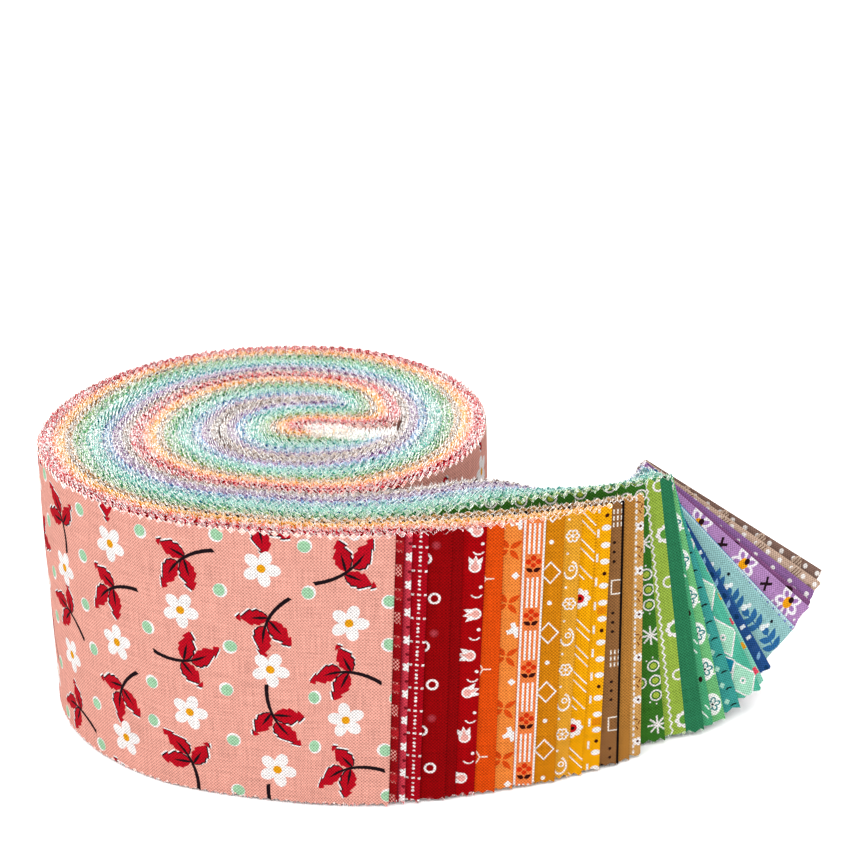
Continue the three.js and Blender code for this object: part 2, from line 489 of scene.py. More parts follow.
def small_stars(face):
    face.lay(-1.0 - face.x.wrap(5.2), "#9C1A2C", 1.0)
    face.repeat(flower, (1.2, 5, 0.4), (5.2, 6.3, -0.1, 1.4))
    face.repeat(disc, (0.36,), (5.2, 6.3, -0.3, 4.4), "#70101C")


def dash_grid(face):
    """Columns of dots between rows of dashes."""
    step_x, step_y = 4.1, 5.4
    p, q = face.spots(step_x, step_y, -1.45, 0.6)
    dots = disc(p, q.wrap(1.15), 0.3).min(1.6 - (q.abs() - step_y / 2).abs())
    face.lay(dots)
    dashes = bar(p.wrap(1.37), q, 0.36, 0.22)
    face.lay(dashes)


def rings(face):
    face.repeat(ring, (1.05, 0.5), (10.2, 20.0, -3.3, 8.0))
    face.repeat(ring, (1.05, 0.5), (10.2, 20.0, -5.3, 17.0))
    face.repeat(disc, (0.7,), (10.2, 20.0, -3.2, 0.0), "#A83A44", 0.8)


def tulips(face):
    """Three-pointed buds that face this way and that, with dots and a thin bow."""
    p, q, column, row = face.cells(6.2, 9.8, -2.0, 4.5)
    p = p + (face.chance(column, row, 2.0) - 0.5) * 1.8
    q = q + (face.chance(column, row, 3.0) - 0.5) * 2.4
    p, q = turned(p, q, (face.chance(column, row, 5.0) - 0.5) * 3.6)
    bud = disc(p, q, 1.3)
    for lean in (-0.5, 0.0, 0.5):
        bud = bud.max(leaf(*turned(q + 0.4, p, lean), 3.0, 0.62))
    face.lay(bud)
    face.lay(disc(p, q + 0.1, 0.85).max(leaf(q, p, 2.0, 0.35)), "#E9A79D")
    p, q = face.spots(6.2, 9.8, -1.5, 8.6)
    face.lay(ring(p, q - 0.6, 1.2, 0.3).min(0 - q))
    face.repeat(disc, (0.36,), (6.2, 9.8, -0.7, 0.6))


def orange_ticks(face):
    face.repeat(star, (1.7, 3, 0.3), (7.4, 21.0, -3.4, 9.0), "#F6DCCB")


def orange_leaves(face):
    """Darker leaf pairs between white squares."""
    p, q = face.spots(7.0, 12.4, -2.5, 7.5, 0.5)
    for side in (0.6, 2.2, 3.7, 5.4):
        u, v = turned(p, q, side)
        face.lay(leaf(u - 0.3, v, 3.0, 0.62), "#D4480F")
    p, q = turned(*face.spots(7.0, 12.4, -1.0, 1.4), 0.75)
    face.lay(bar(p, q, 0.62, 0.62))
    p, q = turned(*face.spots(7.0, 24.8, -0.7, 13.6), 0.3)
    face.lay(star(p, q, 1.8, 4, 1.0))


def striped_flowers(face):
    """White stripes across the strip, broken by a small flower."""
    p, q = face.spots(5.1, 12.3, -2.25, 3.4)
    inner = outline(p.wrap(1.0), 0.46).min(1.4 - p.abs()).min(q.abs() - 2.7)
    face.lay(inner)
    face.lay(outline(p.abs() - 2.05, 0.46))
    blooms = disc(p.abs() - 1.05, q - 0.9, 0.62)
    blooms = blooms.max(disc(p, q - 1.75, 0.62)).max(disc(p, q - 0.1, 0.55))
    face.lay(blooms, "#D0320C")
    face.lay(leaf(*turned(p.abs() - 0.1, q + 1.35, 0.5), 1.75, 0.5), "#3A0C0A")


def diamonds(face):
    p, q = face.spots(8.4, 14.0, -2.6, 8.4)
    face.lay(outline(rhomb(p, q, 2.1, 2.4), 0.42))
    face.repeat(disc, (0.5,), (8.4, 14.0, -2.6, 1.4))


def curls(face):
    """Thin white curls and small open flowers."""
    p, q = face.spots(6.2, 15.6, -1.8, 11.0)
    face.lay(outline(flower(p, q, 1.35, 6, 0.5), 0.34))
    face.lay(disc(p, q, 0.34))
    p, q = face.spots(6.2, 15.6, -1.9, 3.2)
    face.lay(ring(p, q * 0.7, 1.35, 0.34).min(p * 1.4 - q + 1.5))
    face.lay(ring(p - 0.2, q - 0.4, 0.55, 0.3))
    face.repeat(disc, (0.27,), (6.2, 7.8, -2.7, 7.0))


def yellow_flowers(face):
    """Slanting pairs of lines between large half-hidden flowers."""
    p, q = face.spots(7.0, 31.0, -2.7, 12.0)
    slant = (q + p * 1.1).wrap(6.2).abs() - 1.0
    away = (q.abs() - 4.4).min(2.1 - (p - 1.3).abs())
    face.lay(outline(slant, 0.4).min(away))
    face.lay(flower(p, q, 2.4, 8, 0.75))
    face.lay(disc(p, q, 1.05), "#C8161C")
    face.lay(disc(p - 0.1, q, 0.42), "#1C0E0E")


def ovals(face):
    """Columns of ovals and dark dots beside a broken line."""
    step = 13.4
    for at_y in (0.6, 4.6, 10.2):
        face.repeat(oval, (1.0, 0.68), (6.0, step, -1.05, at_y))
    face.repeat(disc, (0.45,), (6.0, step, -1.0, 7.4), "#3A120C")
    face.repeat(bar, (1.0, 0.85), (6.0, step * 2, -1.2, 12.2), "#E0860A")
    face.repeat(bar, (0.24, 0.95), (6.0, 5.6, -2.75, 1.0))


def brown_squares(face):
    """Open squares, groups of short dashes and columns of dark dots."""
    step = 33.0
    p, q = face.spots(5.6, step, -0.9, 10.5)
    face.lay(outline(bar(p, q, 1.05, 1.6), 0.3), "#EFE6DA")
    p, q = face.spots(5.6, step, -0.9, 26.5)
    dashes = bar(p.wrap(0.85), q.wrap(1.5), 0.17, 0.5)
    face.lay(dashes.min(1.2 - p.abs()).min(2.2 - q.abs()), "#EFE6DA")
    p, q = face.spots(5.6, step / 2, -1.5, 2.2)
    face.lay(disc(p, q.wrap(2.2), 0.36).min(2.8 - q.abs()), "#241410")


def tan_daisies(face):
    face.repeat(oval, (0.26, 0.5), (5.0, 1.45, -1.7, 0.0))
    p, q = face.spots(5.0, 10.4, -0.75, 4.0)
    face.lay(flower(p, q, 1.1, 5, 0.42))
    face.lay(disc(p, q, 0.32), "#5B2A17")
    for at_x, at_y, slant in ((-0.9, 7.4, 0.5), (-0.5, 8.7, -0.4), (-1.2, 9.6, 1.2)):
        p, q = turned(*face.spots(5.0, 10.4, at_x, at_y), slant)
        face.lay(bar(p, q, 0.15, 0.5), "#7A3F1C")


def green_rings(face):
    """Columns of ringed dots with a row of beads, and an asterisk between."""
    step, low, middle, high = 22.4, 12.0, 15.7, 19.4
    for at_x, at_y in ((-1.3, low), (-1.2, middle), (-1.4, high), (-4.6, middle)):
        p, q = face.spots(6.6, step, at_x, at_y)
        face.lay(disc(p, q, 0.72), "#A9BE45")
        face.lay(ring(p, q, 1.25, 0.36))
        beads_p, beads_q = sector(p, q, 8)
        beads = disc(beads_p - 2.1, beads_q, 0.2)
        if at_y != middle:
            face.lay(beads.min((q * (1 if at_y == high else -1)) - 0.3))
    face.repeat(star, (2.3, 8, 0.42), (6.6, step, -1.5, 4.6))


def zigzag(face):
    """A zigzag line beside rows of open flowers."""
    wave = (face.y.wrap(1.9).abs() - 0.475) * 0.6
    face.lay(outline((face.x + 3.2).wrap(7.2) + wave, 0.42))
    p, q = face.spots(7.2, 23.0, -0.1, 4.0)
    face.lay(flower(p, q, 2.2, 8, 0.7))
    face.lay(disc(p, q, 1.15), "#5E9A3C")
    face.repeat(ring, (1.2, 0.45), (7.2, 23.0, -0.4, 15.5))


def sea_ticks(face):
    for at_x, at_y in ((-1.2, 3.0), (-1.9, 4.2), (-0.7, 5.2)):
        p, q = turned(*face.spots(5.0, 17.0, at_x, at_y), 0.5)
        face.lay(bar(p, q, 0.15, 0.8), "#E4F3EA")
    face.repeat(oval, (0.45, 0.75), (5.0, 17.0, -1.1, 12.6), "#2A1A16")


def ringed_flowers(face):
    """Flower outlines on white ovals, joined by thin arcs."""
    p, q = face.spots(7.0, 9.4, -2.2, 5.2, 0.5)
    face.lay(oval(p, q, 2.0, 2.9), "#F1F4EE")
    face.lay(outline(flower(p, q, 1.7, 5, 0.5), 0.3), "#1E7F80")
    face.lay(disc(p, q, 0.3), "#16262A")
    p, q = face.spots(7.0, 18.8, -0.8, 10.4)
    face.lay(ring(p, q, 2.4, 0.4).min(q), "#F1F4EE")


def teal_ticks(face):
    p, q = face.spots(3.6, 4.6, -1.3, 1.6, 0.5)
    face.lay(ring(p, q + 0.6, 0.9, 0.42).min(q), "#14201F")
    face.repeat(rhomb, (0.7, 0.9), (3.6, 4.6, -2.6, 3.2, 0.5), "#A9DCC8")


def mint_diamonds(face):
    """Overlapping diamonds in three greens with pale outlines."""
    p, q = face.spots(7.4, 13.0, -3.0, 5.0)
    face.lay(rhomb(p, q, 3.2, 5.6), "#A5DCC0")
    face.lay(outline(rhomb(p, q, 3.2, 5.6), 0.42))
    p, q = face.spots(7.4, 13.0, -4.6, 11.0)
    face.lay(rhomb(p, q, 1.8, 2.6), "#16839E")
    face.lay(outline(rhomb(p, q, 1.8, 2.6), 0.34))
    p, q = face.spots(7.4, 13.0, -3.0, 5.0)
    face.lay(oval(p, q, 0.7, 1.0))
    face.lay(disc(p, q, 0.35), "#3FA88C")


def aqua_squares(face):
    for at_y, code in ((4.4, "#EE4E66"), (19.6, "#EE4E66"), (12.2, "#F3A925"), (27.0, "#F3A925")):
        p, q = turned(*face.spots(7.6, 31.0, -0.95, at_y), 0.1)
        face.lay(bar(p, q, 0.8, 1.0), code)
    face.repeat(bar, (0.3, 0.3), (7.6, 7.75, -3.0, 1.0))


def navy_patches(face):
    """Scattered small patches in white and two blues."""
    p, q, column, row = face.cells(2.6, 3.4, -1.0, 1.0, 0.5)
    share = face.chance(column, row, 9.0)
    face.lay(bar(p, q, 0.62, 0.5).min((share - 0.62) * 6), "#E8EEF2")
    face.lay(leaf(*turned(p + 0.8, q, 0.9), 2.2, 0.5).min((0.3 - share) * 6), "#86B2D6")
    face.lay(oval(p, q, 0.5, 0.8).min(((share - 0.45).abs() * -1 + 0.08) * 6), "#123A66")


def blue_leaves(face):
    """Twigs of paired leaves in mid blue, with white patches and small dark dots."""
    p, q, column, row = face.cells(8.6, 8.0, -5.0, 4.0, 0.5)
    p, q = turned(p, q, face.chance(column, row, 4.0) * 0.9 + 1.1)
    for at, lean in ((-3.0, 0.9), (-3.0, -0.9), (-0.7, 0.8), (-0.7, -0.8), (1.2, 0.0)):
        face.lay(leaf(*turned(p - at, q, lean), 3.3, 0.85), "#2E6AA0")
    face.lay(outline(q, 0.36).min(3.6 - p.abs()), "#2E6AA0")
    p, q = face.spots(8.6, 8.0, -4.4, 7.8, 0.5)
    face.lay(disc(p, q, 0.8).max(disc(p - 1.1, q + 0.6, 0.6)), "#EAF2F2")
    face.repeat(disc, (0.42,), (8.6, 18.8, -2.0, 7.0), "#1A1F2A")


def pale_dots(face):
    face.repeat(disc, (0.42,), (2.4, 2.6, -0.7, 1.0, 0.5), "#7F8FD0")


def star_flowers(face):
    """Outlined flowers with orange hearts and dark caps, and small dark crosses."""
    p, q = face.spots(10.0, 17.6, -2.3, 6.4, 0.5)
    petals = flower(p, q, 3.7, 7, 0.95)
    face.lay(petals + 0.2, "#F3ECF2")
    face.lay(petals - 0.4, "#A577B4")
    face.lay(disc(p, q, 1.35), "#F0A012")
    face.lay(disc(p - 0.9, q + 0.5, 0.75), "#2B1418")
    p, q = face.spots(10.0, 17.6, -2.3, 15.0, 0.5)
    p, q = turned(p, q, 0.5)
    face.lay(star(p, q, 1.7, 4, 0.7), "#241218")
    face.repeat(disc, (0.34,), (5.0, 8.8, -4.2, 1.6, 0.5), "#F3ECF2")


def plum_spots(face):
    p, q = face.spots(5.0, 21.0, -1.3, 9.0)
    face.lay(oval(*turned(p, q, 0.4), 0.8, 2.0), "#31141C")


def scallops(face):
    """Dots beside a scalloped line."""
    p, q = face.spots(5.2, 6.6, -1.4, 2.4)
    face.lay(oval(p, q, 0.5, 0.7))
    wave = (face.y * (math.pi / 4.4)).sin().abs() * 1.1
    face.lay(outline((face.x + 3.1).wrap(8.4) - wave, 0.4))


def taupe_dots(face):
    """White and brown dots between pairs of hatch lines."""
    face.repeat(oval, (0.56, 0.7), (3.8, 4.4, -1.0, 1.6, 0.5), "#F3EDE8")
    face.repeat(oval, (0.6, 0.85), (3.8, 4.4, -2.2, 3.0, 0.5), "#8C7064")
    p, q = face.spots(7.6, 13.2, -2.2, 9.0, 0.5)
    slant = p * 0.4 + q
    face.lay(oval(p, q, 2.2, 1.9), "#CBB09C")
    lines = outline(slant.wrap(0.9), 0.3).min(1.1 - slant.abs()).min(2.0 - p.abs())
    face.lay(lines, "#6E4E3C")


# The strips from the front of the bundle to its back. Columns: name, slot, print, ground
# colour, and the folded end: the place of its top corner (x, y), how far it swings out
# about that corner (below nought where it leans back towards the roll), and the direction
# in plan of that swing, both in degrees.
STRIPS = [
    ("coral_floral", "coral", coral_floral, "#E3A192", 25.3, -60.9, -2.5, 0),
    ("red_gingham", "red", gingham, "#8E0810", 27.1, -60.9, -2.55, 0),
    ("rose_stars", "red", small_stars, "#C43A4A", 28.7, -60.8, -2.5, 0),
    ("crimson_dashes", "red", dash_grid, "#A30516", 32.0, -60.5, -2.6, 0),
    ("dark_red_rings", "red", rings, "#8C0206", 36.9, -60.0, -2.1, 0),
    ("dark_red_plain", "red", plain, "#860206", 39.1, -59.7, -2.1, 0),
    ("red_tulips", "red", tulips, "#A00208", 44.0, -59.0, -2.8, 0),
    ("deep_orange", "orange", orange_ticks, "#D84A0A", 47.6, -58.3, -2.0, 0),
    ("orange_leaves", "orange", orange_leaves, "#E98438", 51.4, -57.4, -1.9, 0),
    ("striped_flowers", "orange", striped_flowers, "#E67A3E", 56.4, -56.5, -2.1, 0),
    ("gold_diamonds", "yellow", diamonds, "#CB7C0C", 60.4, -55.5, -1.5, 0),
    ("gold_curls", "yellow", curls, "#DE9C2C", 64.2, -54.4, -2.2, 0),
    ("yellow_flowers", "yellow", yellow_flowers, "#EDA205", 67.4, -53.1, -2.2, 0),
    ("yellow_ovals", "yellow", ovals, "#F0A608", 70.8, -51.7, -1.6, 0),
    ("brown_squares", "brown", brown_squares, "#8C6038", 73.1, -50.2, -0.1, 0),
    ("black_plain", "brown", plain, "#140C0A", 73.7, -49.7, -0.1, 0),
    ("tan_plain", "brown", plain, "#AE7634", 76.0, -48.4, 0.2, 0),
    ("tan_daisies", "brown", tan_daisies, "#CE9B56", 78.3, -46.9, 0.6, 0),
    ("green_rings", "green", green_rings, "#3A7426", 79.5, -41.4, 5.4, -3),
    ("lime_zigzag", "green", zigzag, "#96B345", 82.9, -39.5, 6.9, -3),
    ("emerald_plain", "green", plain, "#2A7650", 85.4, -38.9, 8.5, -2),
    ("sea_green_ticks", "green", sea_ticks, "#48A474", 85.2, -38.3, 10.8, 2),
    ("ringed_flowers", "green", ringed_flowers, "#6FBA78", 86.0, -37.8, 13.1, 7),
    ("teal_ticks", "teal", teal_ticks, "#3C9A92", 85.8, -37.3, 17.2, 12),
    ("mint_diamonds", "teal", mint_diamonds, "#50B498", 83.8, -36.7, 24.5, 13),
    ("aqua_squares", "teal", aqua_squares, "#88D2BA", 83.0, -36.2, 26.5, 14),
    ("aqua_plain", "teal", plain, "#7CC8B8", 82.6, -35.8, 26.3, 14.5),
    ("teal_plain", "teal", plain, "#4AA8A0", 82.4, -35.3, 26.1, 15),
    ("sea_plain", "teal", plain, "#6ABAB4", 82.2, -34.9, 26.0, 15.5),
    ("navy_patches", "blue", navy_patches, "#26508C", 83.0, -34.4, 29.5, 17),
    ("blue_leaves", "blue", blue_leaves, "#94C2C2", 80.5, -33.9, 39.5, 19),
    ("pale_dots", "blue", pale_dots, "#BEDDE2", 80.5, -33.4, 40.4, 19.5),
    ("blue_plain", "blue", plain, "#5A8CBA", 80.8, -32.9, 40.2, 19.7),
    ("star_flowers", "purple", star_flowers, "#B285BA", 81.1, -32.3, 44.9, 20),
    ("plum_spots", "purple", plum_spots, "#865282", 81.2, -31.7, 46.0, 20.3),
    ("purple_scallops", "purple", scallops, "#8C6298", 81.3, -31.1, 47.9, 20.8),
    ("violet_plain", "purple", plain, "#725080", 81.3, -30.7, 47.6, 21),
    ("taupe_dots", "taupe", taupe_dots, "#C4A692", 81.4, -30.3, 50.0, 21),
    ("taupe_plain", "taupe", plain, "#9A8276", 81.4, -29.9, 49.8, 21.3),
    ("taupe_back", "taupe", taupe_dots, "#86695E", 81.4, -29.0, 52.1, 21.8),
]

# The CAD solids that the strips stand for, by the strip that names them
REPLACED = {
    "coral_floral": ("wound_strips",),
    "crimson_dashes": ("leaf_crimson",),
    "red_tulips": ("leaf_dark_red",),
    "striped_flowers": ("leaf_orange",),
    "gold_curls": ("leaf_gold",),
    "yellow_ovals": ("leaf_yellow",),
    "tan_daisies": ("leaf_brown",),
    "green_rings": ("leaf_dark_green",),
    "lime_zigzag": ("leaf_lime",),
    "ringed_flowers": ("leaf_green",),
    "mint_diamonds": ("leaf_mint",),
    "navy_patches": ("leaf_navy",),
    "blue_leaves": ("leaf_sky",),
    "star_flowers": ("leaf_lavender",),
    "purple_scallops": ("leaf_purple",),
    "taupe_back": ("leaf_taupe",),
}


# Geometry of the bundle in plan

def polar(degrees, radius):
    angle = np.radians(degrees)
    return np.stack([radius * np.cos(angle), radius * np.sin(angle)], axis=-1)


INNER_ROWS = np.vstack([CORE[:, :2], polar(TURNS[:, 0], TURNS[:, 1]), LEAD[:, :2]])
OUTER_ROWS = np.vstack([CORE[:, 2:], polar(TURNS[:, 0], TURNS[:, 2]), LEAD[:, 2:]])


def share_across(layer):
    """How far across the bundle a layer lies, from 0 at the front to 1 at the back."""
    if layer < FRONT_STRIPS:
        share = FRONT_SHARE * layer / FRONT_STRIPS
    else:
        rest = STRIP_COUNT - FRONT_STRIPS
        share = FRONT_SHARE + (1 - FRONT_SHARE) * (layer - FRONT_STRIPS) / rest
    return 0.5 + (share - 0.5) * SPREAD


def smooth_curve(points, per_span=24):
    """Centripetal Catmull-Rom curve through the points, as a dense polyline."""
    before = 2 * points[0] - points[1]
    beyond = 2 * points[-1] - points[-2]
    p = np.vstack([before, points, beyond])
    knots = np.concatenate([[0], np.cumsum(np.sqrt(np.linalg.norm(np.diff(p, axis=0), axis=1)))])
    pieces = []
    for i in range(1, len(p) - 2):
        t0, t1, t2, t3 = knots[i - 1:i + 3]
        t = np.linspace(t1, t2, per_span, endpoint=False)[:, None]
        a = ((t1 - t) * p[i - 1] + (t - t0) * p[i]) / (t1 - t0)
        b = ((t2 - t) * p[i] + (t - t1) * p[i + 1]) / (t2 - t1)
        c = ((t3 - t) * p[i + 1] + (t - t2) * p[i + 2]) / (t3 - t2)
        d = ((t2 - t) * a + (t - t0) * b) / (t2 - t0)
        e = ((t3 - t) * b + (t - t1) * c) / (t3 - t1)
        pieces.append(((t2 - t) * d + (t - t1) * e) / (t2 - t1))
    return np.vstack(pieces + [points[-1:]])


def half_in_plan(index, layer, end):
    """Plan curve of one half of a folded strip, from the middle of the roll to its fold."""
    share = share_across(layer)
    rows = OUTER_ROWS + (INNER_ROWS - OUTER_ROWS) * share
    inner_end = np.array([np.interp(share, INNER_ENDS[:, 0], INNER_ENDS[:, i]) for i in (1, 2)])
    halfway = (inner_end + rows[2]) / 2
    halfway += (rows[1] - halfway) * np.clip(share / 0.7, 0, 1)
    bulge = np.array(INNER_BULGE) * share ** 2
    points = [inner_end, (inner_end + halfway) / 2 + bulge, halfway]
    points += [row for row in rows[2:] if row[0] < end[0] - ROW_CLEAR or row[1] > LEAD_Y]
    start = rows[-1]
    if index >= FRONT_STRIPS:
        across = (layer - FRONT_STRIPS) / (STRIP_COUNT - FRONT_STRIPS)
        front, back = MIDWAY_BACK_Y
        points.append(np.array([MIDWAY_X, front + (back - front) * across]))
    elif end[0] > EXIT_X + BOW_FROM:
        middle = start + (end - start) * BOW_AT
        bow = MIDWAY_BOW * (end[0] - EXIT_X) / (STRIPS[FRONT_STRIPS - 1][4] - EXIT_X)
        points.append(middle - (0, bow))
    points.append(end)
    return smooth_curve(np.array(points))


def distance_along(points):
    step = np.linalg.norm(np.diff(points, axis=0), axis=1)
    return np.concatenate([[0], np.cumsum(step)])


def headings(path):
    step = np.gradient(path, axis=0)
    return np.arctan2(step[:, 1], step[:, 0])


def folded_path(index, gap):
    """Plan curve of a whole strip around its fold: points, heading of the bundle and share of
    the way along the loose end."""
    end = np.array(STRIPS[index][4:6], float) - ((gap + CLOTH) / 2, 0)
    aside = np.array([0, gap / 2])
    front = half_in_plan(index, index + 0.25, end - aside)
    back = half_in_plan(index, index + 0.75, end + aside)
    way = headings(front)[-1]
    turn = np.linspace(-math.pi / 2, math.pi / 2, 7)[1:-1]
    along = np.array([math.cos(way), math.sin(way)])
    sideways = np.sin(turn)[:, None] * np.array([0, 1])
    round_end = end + gap / 2 * (np.cos(turn)[:, None] * along + sideways)
    points = np.vstack([front, round_end, back[::-1]])
    heading = np.concatenate([headings(front), np.full(len(turn), way), headings(back)[::-1]])
    in_tail = np.concatenate([
        tail_share(index, front),
        np.ones(len(turn)),
        tail_share(index, back)[::-1],
    ])
    middle = len(front) + len(turn) // 2
    return points, np.unwrap(heading), in_tail, middle


def tail_share(index, path):
    """Nought in the roll, and from 0 to 1 along the loose end where it leans or fans out."""
    to_end = distance_along(path[::-1])[::-1]
    reach = LEAN_START if index < FRONT_STRIPS else path[-1][0] - FAN_START_X
    return np.clip(1 - to_end / reach, 0, 1)


def tooth(distance, phase):
    """Depth of the pinked edge: 0 at a tip and 1 in a valley."""
    return np.abs(((distance / TOOTH_PITCH + phase) % 1.0) * 2 - 1)


def trim(distance, phase, jag):
    """How far the pinked edge is cut back, with the jag of each tooth."""
    return np.maximum(tooth(distance, phase) * TOOTH_DEPTH + jag, 0)


def slow_wave(distance, rng, length, height):
    """A gentle wave with three random parts."""
    total = np.zeros_like(distance)
    for part in (1.0, 1.7, 2.9):
        total += np.sin(distance * 2 * math.pi / length * part + rng.uniform(0, 6.28)) / part
    return total * height / 2


def unprinted_ends(distance):
    """Distance along the print, which runs out towards both ends however long the path is."""
    last = np.where(distance < 0, -distance[0], distance[-1])
    into = np.maximum(np.abs(distance) - (last - END_LENGTH), 0) / END_LENGTH
    return np.sign(distance) * (np.abs(distance) + into * (STRIP_LENGTH / 2 - last))


def fold_gap(index):
    """Distance between the two halves of a strip at its fold."""
    if index == 0:
        return OUTER_GAP
    return FRONT_GAP if index < FRONT_STRIPS else BACK_GAP


def stations(length, gap, phase, rng):
    """Places along a strip: the tips and valleys of its teeth, and a few around the fold."""
    half = TOOTH_PITCH / 2
    first = math.ceil((length[0] + rng.uniform(0, END_PLAY)) / half + phase * 2)
    last = math.floor((length[-1] - rng.uniform(0, END_PLAY)) / half + phase * 2)
    teeth = (np.arange(first, last + 1) - phase * 2) * half
    fold = FOLD_STEPS * gap * FOLD_REACH
    near = np.abs(teeth[:, None] - fold[None, :]).min(axis=1) < FOLD_CLEAR
    return np.sort(np.concatenate([teeth[~near], fold]))


class StripShape:
    """Stations along one folded strip: places of its edges and the directions of its cloth."""

    def __init__(self, index, rng):
        gap = fold_gap(index)
        points, heading, in_tail, middle = folded_path(index, gap)
        length = distance_along(points)
        length -= length[middle]
        phase = rng.uniform(0, 1)
        self.s = stations(length, gap, phase, rng)
        self.along = unprinted_ends(self.s)
        in_tail = np.interp(self.s, length, in_tail)
        self.flat_share = np.clip(in_tail * 1.6, 0, 1)
        dip = self.set_lean(STRIPS[index], np.interp(self.s, length, heading), in_tail)
        xy = np.stack([np.interp(self.s, length, points[:, i]) for i in (0, 1)], axis=-1)
        rise = RISE + slow_wave(self.s, rng, WAVE_LENGTH, WAVE_HEIGHT) + rng.uniform(*RISE_PLAY)
        self.top = np.column_stack([xy, STRIP_WIDTH - dip + np.maximum(rise, 0)])
        jag = rng.normal(0, TOOTH_JAG, (2, len(self.s)))
        self.trim_top = trim(self.s, phase, jag[0])
        self.trim_foot = trim(self.s, phase + rng.uniform(0, 1), jag[1])
        self.set_directions(xy, gap)

    def set_lean(self, row, heading, in_tail):
        """Sets the way down the cloth, and gives how far its swing lowers the top edge."""
        swing = np.radians(row[6]) * in_tail
        heading = np.arctan2(np.sin(heading), np.cos(heading))
        toward = heading * (1 - in_tail ** 2) + np.radians(row[7]) * in_tail ** 2
        self.down = np.stack([
            np.sin(swing) * np.cos(toward),
            np.sin(swing) * np.sin(toward),
            -np.cos(swing),
        ], axis=-1)
        lift = STRIP_WIDTH * (1 - np.cos(swing))
        return lift * (1 - in_tail ** 3)

    def set_directions(self, xy, gap):
        """Sets the way out of the cloth, and the origin and directions of its fold line."""
        tangent = np.gradient(xy, self.s, axis=0)
        tangent = tangent / np.linalg.norm(tangent, axis=1)[:, None]
        side = np.cross(np.column_stack([tangent, np.zeros(len(self.s))]), self.down)
        self.out = -side / np.linalg.norm(side, axis=1)[:, None]
        fold = np.abs(self.s).argmin()
        self.origin = self.top[fold]
        self.fold_down = self.down[fold]
        outward = np.append(tangent[self.s < -3 * gap][-1], 0)
        outward -= self.fold_down * (outward @ self.fold_down)
        self.fold_out = outward / np.linalg.norm(outward)

    def cloth_place(self, down):
        """Place on the flat strip: square to the fold near it, and along the strip elsewhere."""
        reach = self.at(down) - self.origin
        beside_fold = np.column_stack([
            np.where(self.s < 0, 1, -1) * np.minimum(reach @ self.fold_out, 0),
            STRIP_WIDTH - reach @ self.fold_down,
        ])
        along = np.column_stack([self.along, STRIP_WIDTH - down])
        share = self.flat_share[:, None]
        return (along + (beside_fold - along) * share) / STRIP_WIDTH

    def at(self, down, offset=0.0):
        """Points at a distance below the top line, and off the middle of the cloth."""
        down = np.asarray(down)[:, None]
        offset = np.asarray(offset).reshape(-1, 1)
        return self.top + self.down * down + self.out * offset

    def edge(self):
        return self.at(self.trim_top)

    def foot(self):
        return self.at(STRIP_WIDTH - self.trim_foot)


def ribbon_faces(count, levels):
    """Faces over the points of a strip, and the material of each: 0 printed, 1 back, 2 rim."""
    grid = np.arange(count * (levels + 1) * 2).reshape(count, levels + 1, 2)
    front, back = grid[..., 0], grid[..., 1]
    faces = []
    kinds = []

    def add(kind, *corners):
        quads = np.stack([np.ravel(corner) for corner in corners], axis=1)
        faces.append(quads)
        kinds.append(np.full(len(quads), kind))

    for level in range(levels):
        top, foot = front[:, level], front[:, level + 1]
        add(0, top[:-1], foot[:-1], foot[1:], top[1:])
        top, foot = back[:, level], back[:, level + 1]
        add(1, top[:-1], top[1:], foot[1:], foot[:-1])
    add(2, front[:-1, 0], front[1:, 0], back[1:, 0], back[:-1, 0])
    add(2, front[:-1, -1], back[:-1, -1], back[1:, -1], front[1:, -1])
    for level in range(levels):
        below = level + 1
        add(2, front[0, level], back[0, level], back[0, below], front[0, below])
        add(2, front[-1, level], front[-1, below], back[-1, below], back[-1, level])
    return np.vstack(faces), np.concatenate(kinds)


def outer_ripple(distance, level):
    """Soft outward unevenness of the outermost strip's printed half."""
    slow = np.sin(distance * 0.11 + level * 2.0) + np.sin(distance * 0.043 - level * 3.1)
    height = 0.1 * (slow + 2) * math.sin(math.pi * min(level + 0.15, 1.0))
    return np.where(distance < -2, height, 0)


def ribbon_mesh(name, shape, outermost):
    """Closed mesh of a strip, row by row from its top edge to its foot."""
    levels = OUTER_LEVELS if outermost else 1
    top = shape.trim_top
    foot = STRIP_WIDTH - shape.trim_foot
    points = []
    cloth = []
    for level in np.linspace(0, 1, levels + 1):
        down = top + (foot - top) * level
        bulge = outer_ripple(shape.s, level) if outermost else 0
        for side in (0.5, -0.5):
            points.append(shape.at(down, side * CLOTH + bulge))
            cloth.append(shape.cloth_place(down))
    points = np.stack(points, axis=1).reshape(-1, 3)
    cloth = np.stack(cloth, axis=1).reshape(-1, 2)
    faces, kinds = ribbon_faces(len(shape.s), levels)
    return mesh_of(name, points * MM, faces, kinds, cloth)


def mesh_of(name, points, faces, kinds, cloth):
    """Mesh with a material index for each face and a UV place for each point."""
    mesh = bpy.data.meshes.new(name)
    sides = faces.shape[1]
    mesh.vertices.add(len(points))
    mesh.vertices.foreach_set("co", points.astype(np.float32).ravel())
    mesh.loops.add(faces.size)
    mesh.loops.foreach_set("vertex_index", faces.astype(np.int32).ravel())
    mesh.polygons.add(len(faces))
    mesh.polygons.foreach_set("loop_start", np.arange(0, faces.size, sides, dtype=np.int32))
    mesh.polygons.foreach_set("material_index", kinds.astype(np.int32))
    mesh.update(calc_edges=True)
    layer = mesh.uv_layers.new(name="cloth")
    layer.uv.foreach_set("vector", cloth[faces.ravel()].astype(np.float32).ravel())
    mesh.validate()
    mesh.shade_smooth()
    mesh.set_sharp_from_angle(angle=math.radians(SHARP_ANGLE))
    return mesh


# Finishes

